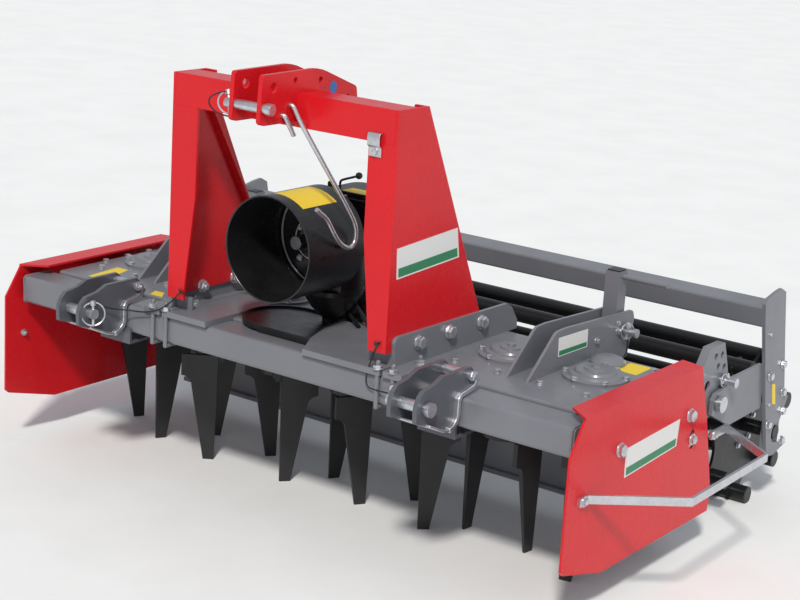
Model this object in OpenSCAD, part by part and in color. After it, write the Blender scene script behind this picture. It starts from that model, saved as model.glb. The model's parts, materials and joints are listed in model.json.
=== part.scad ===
// Light three-point power harrow: a trough of seven two-tine rotors under a
// headstock, with end plates, a levelling board and a caged rear roller.
// +Z up, the hitch at -Y, the rear roller at +Y, the floor at Z = 0.
// Side views are drawn in (Y, Z) from the rotor line and the deck's top face.

/* [Rotors] */
// Spacing of the rotor shafts
rotor_pitch = 250; // [240:1:275]
// Radius from a rotor shaft to the middle of its tines
tine_radius = 103; // [95:1:106]
// Depth from the deck down to the rotor holders
holder_drop = 214; // [208:1:235]
// Width of a tine at its tip
tine_tip = 31; // [20:1:34]
// Reach of a tine's tapered side at its shoulder
tine_shoulder = 84; // [70:1:86]
// Radius of the run-out under a tine's shoulder
tine_fillet = 30; // [15:1:34]
// Thickness of a tine
tine_thick = 14; // [10:1:16]

/* [Trough and deck] */
// Height of the deck's top face above the floor
deck_z = 506; // [480:1:530]
// Reach of the deck in front of the rotor shafts
deck_front = 265; // [258:1:285]
// Reach of the deck behind the rotor shafts
deck_rear = 187; // [175:1:205]
// Distance from the last rotor shaft to the deck's end
deck_end = 115; // [105:1:140]
// Thickness of the deck sheet
deck_sheet = 6; // [4:1:8]
// Depth from the deck to the trough's floor
trough_depth = 166; // [150:1:169]
// Half the depth of the trough, front to back
trough_half_y = 152; // [140:1:165]
// Thickness of the trough's walls
trough_wall = 8; // [6:1:10]

/* [Front beam] */
// Gap from the beam's end to the side plate
beam_end_gap = 21; // [5:1:40]
// Depth of the front beam, front to back
beam_depth = 100; // [90:1:110]
// Height of the front beam
beam_height = 76; // [70:1:84]

/* [Headstock] */
// Diameter of the bearing covers beside the headstock's feet
cover_d = 168; // [150:1:172]
// Width of the foot flange inside each post
foot_flange = 24; // [20:1:30]
// Height of the cross tube's top face above the deck
stock_rise = 644; // [600:1:700]
// Size of the square cross tube
cross_size = 84; // [74:1:92]
// Thickness of the folded post sheet
post_sheet = 8; // [6:1:10]

/* [Hitch] */
// Distance from the centre line to each lower hitch pin's middle
hitch_half = 548; // [520:1:580]
// Distance from the beam's front face to the lower hitch pins
pin_reach = 138; // [130:1:150]
// Diameter of the lower hitch pins
hitch_pin_d = 28; // [22:1:30]
// Gap between a pair of lower hitch ears
ear_gap = 62; // [52:1:70]
// Thickness of a hitch ear
ear_sheet = 12; // [10:1:14]
// Diameter of the top link pin
top_pin_d = 25; // [19:1:27]
// Gap between the two top link plates
top_gap = 76; // [60:1:82]
// Thickness of a top link plate
top_sheet = 12; // [10:1:14]

/* [Drive] */
// Height of the drive shaft above the deck
pto_rise = 244; // [230:1:260]
// Diameter of the drive shaft's free end
pto_d = 34.9; // [30:0.1:38]
// Outer diameter of the round guard
guard_d = 275; // [250:1:290]
// Length of the round guard
guard_long = 223; // [200:1:230]

/* [Side plates] */
// Gap from the deck's end to a side plate
side_gap = 61; // [55:1:70]
// Thickness of the side plates
side_sheet = 6; // [5:1:8]
// Reach of the flat bar hoop outside a side plate
bar_reach = 190; // [160:1:210]

/* [Levelling board] */
// Distance from the rotor shafts back to the board
board_back = 270; // [262:1:290]
// Height of the board
board_high = 270; // [230:1:285]
// Clearance of the board above the floor
board_clear = 66; // [40:1:90]
// Distance from the centre line to each board post
post_x = 622; // [616:1:630]
// Size of a board post
post_size = 42; // [36:1:44]

/* [Roller] */
// Overall diameter of the rear cage roller
roller_d = 448; // [430:1:460]
// Distance from the rotor shafts back to the roller's axle
roller_back = 742; // [735:1:765]
// Number of tubes round the roller
roller_tubes = 7; // [6:1:9]
// Diameter of the roller's tubes
roller_tube_d = 48; // [40:1:54]
// Diameter of the roller's axle
roller_axle_d = 40; // [30:1:48]

/* [Hidden] */
$fn = 48;
FACET = 0.3;             // clearance between curved faces on different bodies
CUT = 1;                 // how far a cut runs past the faces it opens

// Rotors
rotor_count = 7;
mid_rotor = (rotor_count + 1) / 2;
// Angle of each rotor's pair of tines, seen from above
rotor_angle = [-28, -54, -39, -32, -49, -6, -78];
hub_flange_d = 120;
hub_shaft_d = 60;
hub_shaft_long = 60;
hub_gap = 5;             // from the trough's floor down to a rotor's hub
tine_seat = 20;          // how far a tine runs up into its holder
tine_heel = 20;          // reach of a tine's upright side at the top
tine_edge = 7;           // thickness of a tine at its tip
hub_bottom = deck_z - holder_drop;
trough_bottom = deck_z - trough_depth;
hub_top = trough_bottom - hub_gap;

// The chain of widths, from the last rotor out to the side plates
deck_half = (rotor_count - 1) / 2 * rotor_pitch + deck_end;
trough_half_x = deck_half - 8;
side_in = deck_half + side_gap;
side_out = side_in + side_sheet;
beam_half = side_in - beam_end_gap;

// The chain of depths, from the rotor line forward
beam_gap = 0;
beam_top = -7;           // below the deck's top face
beam_rear = -deck_front - beam_gap;
beam_front = beam_rear - beam_depth;
pin_y = beam_front - pin_reach;
pin_z = -5;
ear_nose = 38;
post_front = beam_front + 8;
foot_sheet = 10;

// The chain of widths, from a bearing cover out to a post's outer face
cover_gap = 3;
stock_half = rotor_pitch + cover_d / 2 + cover_gap + foot_flange;

// The machine's length sets the middle, which is the frame's origin.
front_reach = -pin_y + ear_nose;
ring = (roller_d - roller_tube_d) / 2;
ring_start = -93;        // the first tube stands a little past straight down
tube_reach = [for (i = [0:roller_tubes - 1]) cos(ring_start + i * 360 / roller_tubes)];
rear_reach = roller_back + ring * max(tube_reach) + roller_tube_d / 2;
rotor_y = (front_reach - rear_reach) / 2;

// Top link, from the cross tube's top front edge
top_pin = [-123, -28];
top_upper = [-91, 20];
top_holes = [[-9, 31, 17], [90, 25, 17], [204, -30, 20]];
hook_d = 12;
hook_slack = 1;
hook_bend = 7;
hook_in = [-27, -27];
hook_out = [-56, -50];

// Drive
guard_rear = -165;
guard_wall = 3.5;
guard_hole = 150;
journal_d = 50;
journal_long = 80;
pto_long = 70;
pto_tip = -275;
neck_d = 120;
bowl_d = 180;

// Side plates and their hoops, Z from the deck
flange_in = 66;
bar_z = -181;
bar_high = 21;
bar_thick = 8;

// Sectors, arms and roller frame, from the side plate inward
arm_gap = 5;
plate_sheet = 10;
arm_sheet = 10;
sector_sheet = 8;
sector_gap = 16;
plate_x = side_in - 1;
arm_x = plate_x - plate_sheet;
sector_out = arm_x - arm_sheet - arm_gap;
sector_in = sector_out - sector_gap - sector_sheet;
pivot = [368, -114];
pivot_d = 30;
depth_pin = [403, -60];
depth_pin_d = 18.6;
sector_hole_d = 19;
sector_holes = [[361, 11], [397, 9], [380, -20], [415, -28], [396, -82]];
axle_z = roller_d / 2 - deck_z;
axle = [roller_back, axle_z];
frame_tilt = 12;
crossbeam = [612, 84];
crossbeam_deep = 60;
crossbeam_high = 62;

// Levelling board
board_sheet = 5;
board_end_gap = 15;
board_lift = 110;
post_top = 200;
post_pin_z = 42;
post_pin_d = 16;
bracket_sheet = 8;
bracket_gap = 5;
bracket_x = post_size / 2 + bracket_gap + bracket_sheet / 2;
board_front = board_back;
post_front_y = board_front + board_sheet;
post_pin_y = post_front_y + post_size / 2;

grey = [0.50, 0.51, 0.53];
dark_grey = [0.36, 0.38, 0.41];
red = [0.82, 0.06, 0.07];
black = [0.07, 0.07, 0.08];
zinc = [0.78, 0.79, 0.80];

// ---------- helpers ----------

// A plate in the YZ plane: its outline, its low X face and its thickness.
module plate(points, x, thick) {
    plate_shape(x, thick)
        polygon(points);
}

// A plate of the same kind drawn from a 2D child.
module plate_shape(x, thick) {
    translate([x, rotor_y, deck_z])
        rotate([90, 0, 90])
            linear_extrude(thick)
                children();
}

// A shaft or bore along X through the side view's point at.
module along_x(x0, x1, at, d) {
    translate([x0, rotor_y + at[0], deck_z + at[1]])
        rotate([0, 90, 0])
            cylinder(d = d, h = x1 - x0);
}

// A shaft or bore along Y.
module along_y(y0, y1, x, z, d) {
    translate([x, rotor_y + y0, deck_z + z])
        rotate([-90, 0, 0])
            cylinder(d = d, h = y1 - y0);
}

// A box from its low and high corners.
module block(low, high) {
    translate([low[0], rotor_y + low[1], deck_z + low[2]])
        cube(high - low);
}

// A rectangle with rounded corners, centred.
module soft_rect(w, h, r) {
    square([w - 2 * r, h], center = true);
    square([w, h - 2 * r], center = true);
    for (i = [-1, 1], j = [-1, 1])
        translate([i * (w / 2 - r), j * (h / 2 - r)])
            circle(r);
}

// A round rod between two points given as (X, Y, Z), with round ends.
module rod(a, b, d) {
    v = b - a;
    long = norm(v);
    translate([a[0], rotor_y + a[1], deck_z + a[2]])
        rotate([0, acos(v[2] / long), atan2(v[1], v[0])]) {
            cylinder(d = d, h = long);
            sphere(d = d);
            translate([0, 0, long])
                sphere(d = d);
        }
}

// A path with each inner corner replaced by a short curve that starts and ends
// a bend's length from it.
function unit(v) = v / norm(v);
function rounded(path, bend) = concat(
    [path[0]],
    [for (i = [1:len(path) - 2], t = [0:0.25:1])
        let (a = path[i] + bend * unit(path[i - 1] - path[i]),
             b = path[i] + bend * unit(path[i + 1] - path[i]))
        (1 - t) * (1 - t) * a + 2 * t * (1 - t) * path[i] + t * t * b],
    [path[len(path) - 1]]);

// The direction at each point of a path, and a normal carried along it.
function directions(path) = [for (i = [0:len(path) - 1])
    unit(path[min(i + 1, len(path) - 1)] - path[max(i - 1, 0)])];
function normals(dirs, last, i = 0) = i == len(dirs) ? [] :
    let (n = unit(last - (last * dirs[i]) * dirs[i]))
    concat([n], normals(dirs, n, i + 1));

// A round rod swept along a path.
module bent_rod(path, d, sides = 12) {
    dirs = directions(path);
    ups = normals(dirs, [0.1, 0.2, 1]);
    last = len(path) - 1;
    polyhedron(
        points = [for (i = [0:last], j = [0:sides - 1])
            path[i] + d / 2 * (cos(j * 360 / sides) * ups[i]
                               + sin(j * 360 / sides) * cross(dirs[i], ups[i]))],
        faces = concat(
            [[for (j = [0:sides - 1]) j]],
            [[for (j = [0:sides - 1]) last * sides + sides - 1 - j]],
            [for (i = [0:last - 1], j = [0:sides - 1])
                [i * sides + j, (i + 1) * sides + j,
                 (i + 1) * sides + (j + 1) % sides]],
            [for (i = [0:last - 1], j = [0:sides - 1])
                [i * sides + j, (i + 1) * sides + (j + 1) % sides,
                 i * sides + (j + 1) % sides]]));
}

// An outline whose points carry a third value: how far from the corner its
// curve starts, or nothing for a sharp corner.
function softened(marks) = [for (i = [0:len(marks) - 1])
    let (last = len(marks) - 1,
         p = [marks[i][0], marks[i][1]],
         q = marks[i == 0 ? last : i - 1],
         r = marks[i == last ? 0 : i + 1],
         bend = len(marks[i]) > 2 ? marks[i][2] : 0,
         a = p + bend * unit([q[0], q[1]] - p),
         b = p + bend * unit([r[0], r[1]] - p))
    for (t = bend > 0 ? [0, 0.25, 0.5, 0.75, 1] : [0])
        (1 - t) * (1 - t) * a + 2 * t * (1 - t) * p + t * t * b];

// A plate in the XZ plane: its outline, its low Y face and its thickness.
module front_plate(points, y, thick) {
    translate([0, rotor_y + y + thick, deck_z])
        rotate([90, 0, 0])
            linear_extrude(thick)
                polygon(points);
}

// A flat plate seen from above: its outline, its low Z face and its thickness.
module flat_plate(points, z, thick) {
    translate([0, rotor_y, deck_z + z])
        linear_extrude(thick)
            polygon(points);
}

// The children on the right side and mirrored on the left.
module both_sides() {
    for (side = [0, 1])
        mirror([side, 0, 0])
            children();
}

module on_side(side) {
    mirror([side < 0 ? 1 : 0, 0, 0])
        children();
}

function rotor_x(i) = (i - mid_rotor) * rotor_pitch;
function moved(points, by) = [for (p = points) p + by];

// ---------- trough, deck and beam ----------

module gear_case() {
    color(grey)
        difference() {
            block([-trough_half_x, -trough_half_y, -trough_depth],
                  [trough_half_x, trough_half_y, -deck_sheet]);
            block([-trough_half_x + trough_wall, -trough_half_y + trough_wall,
                   -trough_depth + trough_wall],
                  [trough_half_x - trough_wall, trough_half_y - trough_wall,
                   -deck_sheet + CUT]);
            for (i = [1:rotor_count])
                translate([rotor_x(i), rotor_y, trough_bottom - CUT])
                    cylinder(d = hub_shaft_d + 2 * FACET, h = trough_wall + 2 * CUT);
        }
}

// The deck sheet, folded down behind the front beam, with a notch for each
// U-bolt's rear leg.
skirt = 60;
fold = 7;

module deck() {
    front = -deck_front;
    color(grey)
        difference() {
            plate(softened([[front, -skirt], [front, 0, fold], [deck_rear, 0, 3],
                            [deck_rear, -deck_sheet], [front + deck_sheet, -deck_sheet],
                            [front + deck_sheet, -skirt]]),
                  -deck_half, 2 * deck_half);
            for (x = u_bolt_x, side = [-1, 1])
                block([side * x - u_rod / 2 - CUT, front - CUT, -skirt - CUT],
                      [side * x + u_rod / 2 + CUT, beam_rear + u_rod + CUT, CUT]);
        }
}

// One bearing cover: a flange, a stepped ring and a flat cap.
module bearing_cover() {
    rotate_extrude()
        polygon([[0, 0], [cover_d / 2, 0], [cover_d / 2, 6], [72, 8], [67, 14],
                 [56, 15], [53, 20], [50, 22], [0, 22]]);
}

module bearing_covers() {
    color(grey)
        for (i = [1:rotor_count])
            if (i != mid_rotor)
                translate([rotor_x(i), rotor_y, deck_z])
                    bearing_cover();
}

module front_beam() {
    color(grey)
        translate([0, rotor_y + beam_rear - beam_depth / 2,
                   deck_z + beam_top - beam_height / 2])
            rotate([90, 0, 90])
                linear_extrude(2 * beam_half, center = true)
                    soft_rect(beam_depth, beam_height, 10);
}

// ---------- headstock ----------

post_rear_top = 123;     // depth of a post's side sheet at the top
post_rear_foot = 428;    // and at its foot
post_foot = 44;          // the sheet stops this far above the deck
post_hem = 26;           // width of the fold along the sheet's rear edge
fold_in_top = 86;        // width of the front fold at the top
fold_in_foot = 56;
fold_top = stock_rise - cross_size;

module post(side) {
    top = post_front + post_rear_top;
    foot = post_front + post_rear_foot;
    inside = stock_half - fold_in_top;
    color(red)
        on_side(side) {
            plate([[post_front, post_foot], [post_front, stock_rise],
                   [top, stock_rise], [foot, post_foot]],
                  stock_half - post_sheet, post_sheet);
            plate([[foot - post_sheet, post_foot], [top - post_sheet, fold_top],
                   [top, fold_top], [foot, post_foot]],
                  stock_half - post_hem, post_hem);
            front_plate([[stock_half, post_foot], [stock_half, fold_top],
                         [inside, fold_top], [inside, fold_top / 2 + 44],
                         [stock_half - fold_in_foot, post_foot + 24],
                         [stock_half - fold_in_foot, post_foot]],
                        post_front, post_sheet);
            block([stock_half - 40, top - post_sheet, fold_top],
                  [stock_half, top, stock_rise]);
        }
}

module post_right() { post(1); }
module post_left() { post(-1); }

// The grey foot under each post: an upright plate bolted outside the post, a
// flange on the deck inside it and a web under the post's front fold.
foot_high = 83;
foot_rear = 228;
foot_back = [[171, 79], [196, 66], [foot_rear, 24], [foot_rear, 0]];

module foot(side) {
    web = post_front + 35;
    nose = 18;
    color(grey)
        on_side(side) {
            plate_shape(stock_half, foot_sheet) {
                translate([post_front + 24 + nose, foot_high - nose])
                    circle(nose);
                polygon(concat([[post_front + 32, 0],
                                [post_front + 24, foot_high - nose],
                                [post_front + 24 + nose, foot_high]], foot_back));
            }
            block([stock_half - foot_flange, beam_rear + 20, 0],
                  [stock_half, deck_rear, 10]);
            block([stock_half - fold_in_foot, web, clamp_high],
                  [stock_half, web + 8, post_foot]);
        }
}

module foot_right() { foot(1); }
module foot_left() { foot(-1); }

module cross_tube() {
    wall = 6;
    end = stock_half - post_sheet;
    color(red)
        difference() {
            block([-end, post_front, stock_rise - cross_size],
                  [end, post_front + cross_size, stock_rise]);
            block([-end - CUT, post_front + wall, stock_rise - cross_size + wall],
                  [end + CUT, post_front + cross_size - wall, stock_rise - wall]);
        }
}

// ---------- top link ----------

tube_corner = [post_front, stock_rise];

module top_link_plates() {
    bore = top_pin_d + 1;
    through = top_gap / 2 + top_sheet + CUT;
    under = -47;
    outline = softened([[-140, -62, 6], [-133, 53, 9], [cross_size, 56, 30],
                        [239, -2, 9], [247, under, 9], [cross_size, under],
                        [cross_size, 0], [0, 0], [0, -70], [-128, -70, 8]]);
    color(red)
        difference() {
            for (x = [top_gap / 2, -top_gap / 2 - top_sheet])
                plate(moved(outline, tube_corner), x, top_sheet);
            for (at = [top_pin, top_upper])
                along_x(-through, through, tube_corner + at, bore);
            for (at = top_holes)
                along_x(-through, through, tube_corner + [at[0], at[1]], at[2]);
            for (at = [hook_in, hook_out])
                along_x(0, through, tube_corner + at, hook_d + hook_slack);
        }
}

module top_link_pin() {
    left = 20;
    right = 8;
    head = 16;
    out = top_gap / 2 + top_sheet;
    color(zinc) {
        along_x(-out - left, out + right + head + 2, tube_corner + top_pin, top_pin_d);
        along_x(out + right, out + right + head, tube_corner + top_pin, top_pin_d + 5);
    }
}

// ---------- lower hitch ----------

ear_out = ear_gap / 2 + ear_sheet;

// One S-shaped hitch ear, from the pin up over the beam's front edge.
module hitch_ear(x) {
    pin = [pin_y, pin_z];
    front = [beam_front, beam_top];
    difference() {
        plate_shape(x, ear_sheet) {
            translate(pin)
                circle(ear_nose);
            polygon([pin + [-36, 12], pin + [-38, 0], pin + [-36, -30],
                     front + [-22, -82], front + [-10, -72], front + [0, -45], front,
                     front + [18, 0], front + [56, 45], front + [52, 58],
                     front + [40, 67], front + [-73, 67], front + [-107, 53],
                     pin + [-13, 44], pin + [-28, 30]]);
        }
        along_x(x - CUT, x + ear_sheet + CUT, pin, hitch_pin_d + 1);
    }
}

// A pair of ears joined by the strap that runs under the beam.
module hitch_ears(side) {
    strap = 8;
    drop = beam_top - beam_height - 30;
    color(dark_grey)
        on_side(side) {
            hitch_ear(hitch_half + ear_gap / 2);
            hitch_ear(hitch_half - ear_out);
            block([hitch_half - 68, beam_front - strap, drop],
                  [hitch_half + ear_out, beam_front, beam_top - beam_height + 14]);
            block([hitch_half - 68, beam_front - strap, drop],
                  [hitch_half + ear_out, beam_rear - 15, drop + strap]);
        }
}

module hitch_ears_right() { hitch_ears(1); }
module hitch_ears_left() { hitch_ears(-1); }

// The lower hitch pins, and the spacers between each pair of ears.
module hitch_pins() {
    at = [pin_y, pin_z];
    head = hitch_half + ear_out + 6;
    spacer = [beam_front + 36, beam_top + 47];
    color(zinc)
        both_sides() {
            along_x(hitch_half - ear_out - 22, head, at, hitch_pin_d);
            along_x(head, head + 12, at, hitch_pin_d + 8);
            along_x(hitch_half - ear_gap / 2, hitch_half + ear_gap / 2, spacer, 24);
            along_x(hitch_half + ear_out, hitch_half + ear_out + 10, spacer, 22);
            along_x(hitch_half - ear_out - 10, hitch_half - ear_out, spacer, 22);
        }
}

// Round U-bolts round the beam on both sides of each post's foot, through the
// clamp plates that lie on the beam and the deck. The right one reaches in to
// the gearbox's tray, whose slanted edge it meets.
u_rod = 12;
u_bolt_x = [stock_half - 9, stock_half + foot_sheet + 28];
u_top = 26;
clamp_high = 9;
clamp_out = 57;
tray_edge = [[118, -371], [82, -305], [70, -284], [38, -182], [30, -90]];
tray_left = -205;

module u_bolt(x) {
    front = beam_front - u_rod / 2;
    rear = beam_rear + u_rod / 2;
    low = beam_top - beam_height - u_rod / 2;
    rod([x, front, u_top], [x, front, low], u_rod);
    rod([x, front, low], [x, rear, low], u_rod);
    rod([x, rear, low], [x, rear, u_top], u_rod);
}

module clamp(inner) {
    front = beam_front - u_rod;
    rear = beam_rear + 2 * u_rod;
    flange = stock_half - foot_flange - 1;
    flat_plate(concat(inner, [[flange, -90], [flange, beam_rear + 19],
                              [stock_half, beam_rear + 19], [stock_half, front],
                              [inner[0][0], front]]), 0, clamp_high);
    for (x = [[inner[0][0], stock_half],
              [stock_half + foot_sheet, stock_half + foot_sheet + clamp_out]])
        block([x[0], front, beam_top], [x[1], beam_rear, clamp_high]);
    block([stock_half + foot_sheet, front, 0],
          [stock_half + foot_sheet + clamp_out, rear, clamp_high]);
}

module u_bolts() {
    color(grey) {
        both_sides()
            for (x = u_bolt_x)
                u_bolt(x);
        clamp(tray_edge);
        mirror([1, 0, 0])
            clamp([[3 - tray_left, -371], [3 - tray_left, -90]]);
    }
}

// ---------- gearbox and input ----------

box_top = 329;

// The gearbox: a flange on the deck, a body, the bowl in front of it under the
// input neck, two braces down to the deck and the lever's boss.
bowl_y = -110;
tray_floor = 8;
brace_d = 11;
brace_foot = clamp_high + 0.45 * brace_d;

module gearbox() {
    body_low = 107;
    body_top = 200;
    color(black) {
        difference() {
            union() {
                translate([0, rotor_y, deck_z])
                    rotate_extrude()
                        polygon([[0, 0], [70, 0], [70, 12], [48, 18], [44, 40],
                                 [60, 70], [bowl_d / 2, body_low],
                                 [bowl_d / 2, body_top], [0, body_top]]);
                difference() {
                    translate([0, rotor_y + bowl_y, deck_z])
                        rotate_extrude()
                            polygon([[0, tray_floor], [24, tray_floor], [24, 16],
                                     [38, 28], [55, 46], [71, 70], [83, 90],
                                     [88, 112], [88, body_top], [0, body_top]]);
                    block([-bowl_d, guard_rear - bowl_d, pto_rise - guard_d / 2 - 3],
                          [bowl_d, guard_rear + FACET, body_top + CUT]);
                }
                translate([0, rotor_y, deck_z + body_top])
                    linear_extrude(box_top - body_top)
                        soft_rect(bowl_d, bowl_d, 20);
                along_y(guard_rear - 35, 0, 0, pto_rise, neck_d);
                translate([30, rotor_y + 20, deck_z + box_top])
                    cylinder(d = 26, h = 40);
            }
            along_y(pto_tip, pto_tip + pto_long + journal_long + CUT, 0, pto_rise,
                    journal_d + 2 * FACET);
        }
        translate([0, rotor_y, deck_z]) {
            bent_rod([[42, -78, 72], [122, -103, brace_foot]], brace_d, 6);
            bent_rod([[28, -88, 42], [104, -123, brace_foot]], brace_d, 6);
        }
    }
}

// The tray in front of the gearbox: a floor with a rim, rounded at its left
// end, and a lip that hangs in front of the deck's edge.
module gearbox_stand() {
    rim = 6;
    high = 14;
    front = tray_edge[1][1];
    rear = -76;
    turn = (rear - front) / 2;
    corner = tray_edge[4] + [-2, 14];
    wall = [[tray_left + turn, front], tray_edge[1], tray_edge[2], tray_edge[3],
            tray_edge[4], corner, [tray_left + turn, rear]];
    color(black) {
        difference() {
            translate([0, rotor_y, deck_z])
                linear_extrude(high) {
                    translate([tray_left + turn, front + turn])
                        circle(turn, $fn = 32);
                    polygon(wall);
                }
            translate([0, rotor_y, deck_z + tray_floor])
                linear_extrude(high) {
                    translate([tray_left + turn, front + turn])
                        circle(turn - rim, $fn = 32);
                    polygon([[tray_left + turn, front + rim],
                             tray_edge[1] + [-rim, rim], tray_edge[2] + [-rim, rim],
                             tray_edge[3] + [-rim, 0], tray_edge[4] + [-rim, 0],
                             corner + [-rim, -rim], [tray_left + turn, rear - rim]]);
                }
        }
        block([tray_left + turn, front, -6], [tray_edge[1][0] - 4, front + rim, high]);
    }
}

module pto_guard() {
    front = guard_rear - guard_long;
    color(black)
        difference() {
            along_y(front, guard_rear, 0, pto_rise, guard_d);
            along_y(front - CUT, guard_rear - 5, 0, pto_rise, guard_d - 2 * guard_wall);
            along_y(front - CUT, guard_rear + CUT, 0, pto_rise, neck_d);
        }
}

module pto_shaft() {
    color(zinc) {
        along_y(pto_tip, pto_tip + pto_long, 0, pto_rise, pto_d);
        along_y(pto_tip + pto_long, pto_tip + pto_long + journal_long, 0, pto_rise,
                journal_d);
    }
}

// The hook that holds the drive shaft up when the harrow is parked, clipped in
// two holes of the near top link plate.
hook_side = guard_d / 2 + 13;
hook_inner = top_gap / 2 - hook_d / 2;
hook_outer = top_gap / 2 + top_sheet + 9;

function hook_at(at, x) = [x, tube_corner[0] + at[0], tube_corner[1] + at[1]];
function by_shaft(x, y, z) = [x, y, pto_rise + z];

hook_path = [
    hook_at([-18, -102], hook_outer),
    hook_at(hook_out, hook_outer),
    hook_at(hook_out, hook_inner),
    hook_at(hook_in, hook_inner),
    hook_at(hook_in, hook_outer),
    hook_at([-13, -74], hook_outer + 21),
    by_shaft(hook_side, -250, 102),
    by_shaft(hook_side, -228, 46),
    by_shaft(hook_side, -229, 16),
    by_shaft(hook_side, -246, 10),
    by_shaft(hook_side, -311, 52),
    by_shaft(hook_side, -336, 82),
    by_shaft(hook_side, -385, 132)
];

module pto_hook() {
    color(zinc)
        translate([0, rotor_y, deck_z])
            bent_rod(rounded(hook_path, hook_bend), hook_d);
}

// ---------- side plates ----------

side_outline = [[-358, 16], [-412, -64], [-412, -341], [-400, -351], [-222, -398],
                [334, -398], [341, -341], [277, -133], [221, 16]];
side_slot = [199, -166];
slot_half = 14;
slot_wide = 24;

module side_plate(side) {
    color(red)
        on_side(side) {
            difference() {
                plate(side_outline, side_in, side_sheet);
                for (z = [-slot_half, slot_half])
                    along_x(side_in - CUT, side_out + CUT, side_slot + [0, z], slot_wide);
                block([side_in - CUT, side_slot[0] - slot_wide / 2,
                       side_slot[1] - slot_half],
                      [side_out + CUT, side_slot[0] + slot_wide / 2,
                       side_slot[1] + slot_half]);
            }
            translate([0, rotor_y, deck_z + 16])
                linear_extrude(side_sheet)
                    polygon([[side_out, -358], [side_out, 221],
                             [side_out - flange_in, 237], [side_out - flange_in, -308]]);
        }
}

module side_plate_right() { side_plate(1); }
module side_plate_left() { side_plate(-1); }

// The flat bar hoop outside each side plate, bent from one strip with a foot
// on the plate at each end.
bar_mid = side_out + bar_thick / 2;
bar_path = [[bar_mid, -364], [bar_mid, -326], [side_out + bar_reach, -164],
            [side_out + bar_reach - 8, 252], [bar_mid, 388], [bar_mid, 300]];

// One edge of a strip of width w along a path in plan, with mitred bends.
function turned(v) = [-v[1], v[0]];
function strip_edge(path, w) = [for (i = [0:len(path) - 1])
    let (n = turned(unit(path[max(i, 1)] - path[max(i, 1) - 1])),
         m = turned(unit(path[min(i + 1, len(path) - 1)] - path[min(i, len(path) - 2)])))
    path[i] + w / 2 * (n + m) / (1 + n * m)];
function backwards(list) = [for (i = [len(list) - 1:-1:0]) list[i]];

module side_bar(side) {
    color(zinc)
        on_side(side)
            translate([0, rotor_y, deck_z + bar_z - bar_high / 2])
                linear_extrude(bar_high)
                    polygon(concat(strip_edge(bar_path, bar_thick),
                                   backwards(strip_edge(bar_path, -bar_thick))));
}

module side_bar_right() { side_bar(1); }
module side_bar_left() { side_bar(-1); }

// ---------- roller arms, sectors and frame ----------

// One pair of sector cheeks at each end: an inverted U over the arm's pivot,
// with holes for the depth pin and a window, on a rail off the trough.
module sector_plates() {
    cheek = [[trough_half_y - 80, -150], [trough_half_y - 80, -50], [240, -40],
             [288, -8], [326, 41], [406, 41], [434, -26], [447, -61], [424, -128],
             [368, -152], [200, -160]];
    web = [[288, -8], [326, 41], [406, 41], [410, 33], [401, 33], [330, 33],
           [294, -14]];
    color(grey)
        both_sides() {
            difference() {
                union() {
                    for (x = [sector_in, sector_out - sector_sheet])
                        plate(cheek, x, sector_sheet);
                    plate(web, sector_in, sector_out - sector_in);
                }
                along_x(sector_in - CUT, sector_out + CUT, pivot, pivot_d);
                along_x(sector_in - CUT, sector_out + CUT, depth_pin, sector_hole_d);
                for (at = sector_holes)
                    along_x(sector_in - CUT, sector_out + CUT, at, sector_hole_d);
                along_x(sector_in - CUT, sector_out + CUT, [326, -62], 30);
            }
            block([trough_half_x, trough_half_y - 80, -150],
                  [sector_in, trough_half_y - 10, -50]);
        }
}

module depth_pins() {
    color(zinc)
        both_sides() {
            along_x(sector_in - 6, sector_out + 38, depth_pin, depth_pin_d);
            along_x(sector_out + 38, sector_out + 46, depth_pin, depth_pin_d + 8);
        }
}

module pivot_pins() {
    color(zinc)
        both_sides() {
            along_x(sector_in - 8, plate_x - 5, pivot, pivot_d);
            along_x(plate_x - 5, plate_x + 7, pivot, pivot_d + 14);
        }
}

// Stand-offs that carry each side plate: one off the trough, one off the sector.
module side_mounts() {
    color(grey)
        both_sides() {
            block([trough_half_x, -60, -156], [side_in, 30, -106]);
            block([sector_out, 175, -156], [side_in, 225, -90]);
        }
}

module roller_arm(side) {
    arm = [[338, -140], [338, -100], [352, -84], [398, -80], [439, -61], [620, -59],
           [640, -80], [640, -190], [616, -189], [446, -193]];
    end_top = moved([[-23, -25], [-34, 32], [-20, 46], [30, 56], [62, 60],
                     [90, 46], [103, -13]], crossbeam);
    end_low = moved([[-10, 275], [25, 126], [56, 92], [16, 29], [0, 29], [0, -30],
                     [76, -48], [1, -67], [-45, -62]], axle);
    color(grey)
        on_side(side) {
            difference() {
                plate(arm, arm_x - arm_sheet, arm_sheet);
                along_x(arm_x - arm_sheet - CUT, arm_x + CUT, pivot, pivot_d + 2 * FACET);
            }
            difference() {
                plate(concat(end_top, end_low, [axle + [-97, 122]]),
                      arm_x, plate_sheet);
                along_x(arm_x - CUT, plate_x + CUT, axle, 58);
            }
            difference() {
                block([arm_x - 12, axle[0] - 52, axle[1] - 52],
                      [arm_x, axle[0] + 40, axle[1] + 52]);
                along_x(arm_x - 12 - CUT, arm_x + CUT, axle, roller_axle_d + 2 * FACET);
            }
        }
}

module roller_arm_right() { roller_arm(1); }
module roller_arm_left() { roller_arm(-1); }

module roller_beam() {
    color(grey)
        translate([-arm_x, rotor_y + crossbeam[0], deck_z + crossbeam[1]])
            rotate([90, 0, 90])
                linear_extrude(2 * arm_x)
                    rotate([0, 0, frame_tilt])
                        difference() {
                            soft_rect(crossbeam_deep, crossbeam_high, 8);
                            soft_rect(crossbeam_deep - 10, crossbeam_high - 10, 4);
                        }
}

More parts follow.
